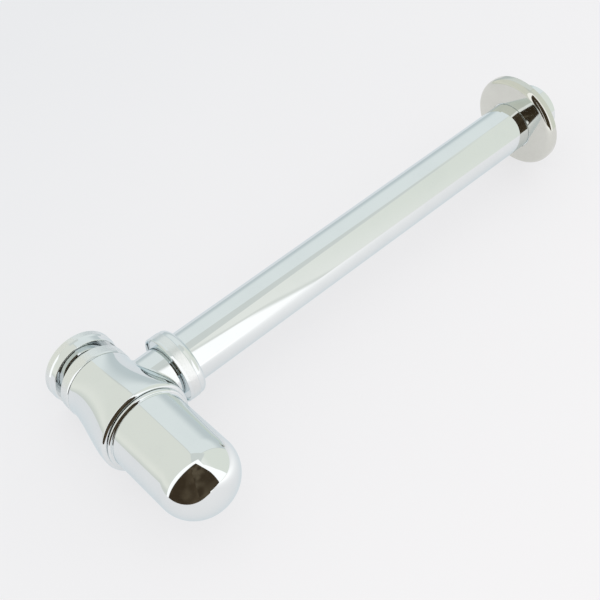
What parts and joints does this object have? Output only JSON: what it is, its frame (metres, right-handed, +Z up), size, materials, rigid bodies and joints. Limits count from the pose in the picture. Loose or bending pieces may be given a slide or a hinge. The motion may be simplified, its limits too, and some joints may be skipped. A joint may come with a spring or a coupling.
{
  "type": "bottle trap",
  "caption": "Chrome basin bottle trap: bell body with screw-on domed cup, telescopic inlet with knurled nuts, and a long straight outlet pipe with a sliding wall flange.",
  "frame": {"origin": "on the bottle's axis, in the top plane of the inlet nut, where the basin waste screws in", "axes": "+Z up along the bottle's axis through the inlet, +Y along the outlet pipe towards the wall"},
  "size_m": [0.0634, 0.3792, 0.1359],
  "materials": {
    "chrome_plate": "mirror-bright chrome plate on brass",
    "polished_steel": "polished stainless sheet, slightly warm",
    "seal_rubber": "smooth black rubber",
    "slip_plastic": "plain white plastic"
  },
  "bodies": {
    "trap_body": {"trap_body": "chrome_plate", "neck_seal": "seal_rubber", "outlet_seal": "seal_rubber"},
    "cup_seal": {"cup_seal": "seal_rubber"},
    "cup": {"cup": "chrome_plate"},
    "neck_slip_ring": {"neck_slip_ring": "slip_plastic"},
    "neck_nut": {"neck_nut": "chrome_plate"},
    "inlet_tube": {"inlet_tube": "chrome_plate", "inlet_washer": "seal_rubber"},
    "inlet_nut": {"inlet_nut": "chrome_plate"},
    "outlet_slip_ring": {"outlet_slip_ring": "slip_plastic"},
    "outlet_nut": {"outlet_nut": "chrome_plate"},
    "outlet_pipe": {"outlet_pipe": "chrome_plate"},
    "wall_flange": {"wall_flange": "polished_steel"}
  },
  "joints": [
    {"name": "cup_drop", "type": "slide", "parent": "trap_body", "child": "cup_seal", "axis": [0, 0, -1], "range_m": [0, 0.006]},
    {"name": "cup_screw", "type": "hinge", "parent": "cup_seal", "child": "cup", "pos_m": [0, 0, -0.066], "axis": [0, 0, -1], "range_deg": [0, 1080]},
    {"name": "neck_lift", "type": "slide", "parent": "trap_body", "child": "neck_slip_ring", "axis": [0, 0, 1], "range_m": [0, 0.00423]},
    {"name": "neck_screw", "type": "hinge", "parent": "neck_slip_ring", "child": "neck_nut", "pos_m": [0, 0, -0.018], "axis": [0, 0, 1], "range_deg": [0, 660]},
    {"name": "inlet_slide", "type": "slide", "parent": "trap_body", "child": "inlet_tube", "axis": [0, 0, 1], "range_m": [0, 0.045]},
    {"name": "inlet_screw", "type": "hinge", "parent": "inlet_tube", "child": "inlet_nut", "pos_m": [0, 0, 0], "axis": [0, 0, 1], "continuous": true},
    {"name": "outlet_draw", "type": "slide", "parent": "trap_body", "child": "outlet_slip_ring", "axis": [0, 1, 0], "range_m": [0, 0.006]},
    {"name": "outlet_screw", "type": "hinge", "parent": "outlet_slip_ring", "child": "outlet_nut", "pos_m": [0, 0.038, -0.0438], "axis": [0, 1, 0], "range_deg": [0, 1440]},
    {"name": "pipe_slide", "type": "slide", "parent": "trap_body", "child": "outlet_pipe", "axis": [0, 1, 0], "range_m": [0, 0.005]},
    {"name": "flange_slide", "type": "slide", "parent": "outlet_pipe", "child": "wall_flange", "axis": [0, 1, 0], "range_m": [-0.265, 0.014]}
  ],
  "couplings": [
    {"joint": "cup_screw", "follows": "cup_drop", "rad_per_m": 3141.6},
    {"joint": "neck_screw", "follows": "neck_lift", "rad_per_m": 2721.1},
    {"joint": "outlet_screw", "follows": "outlet_draw", "rad_per_m": 4188.7}
  ]
}
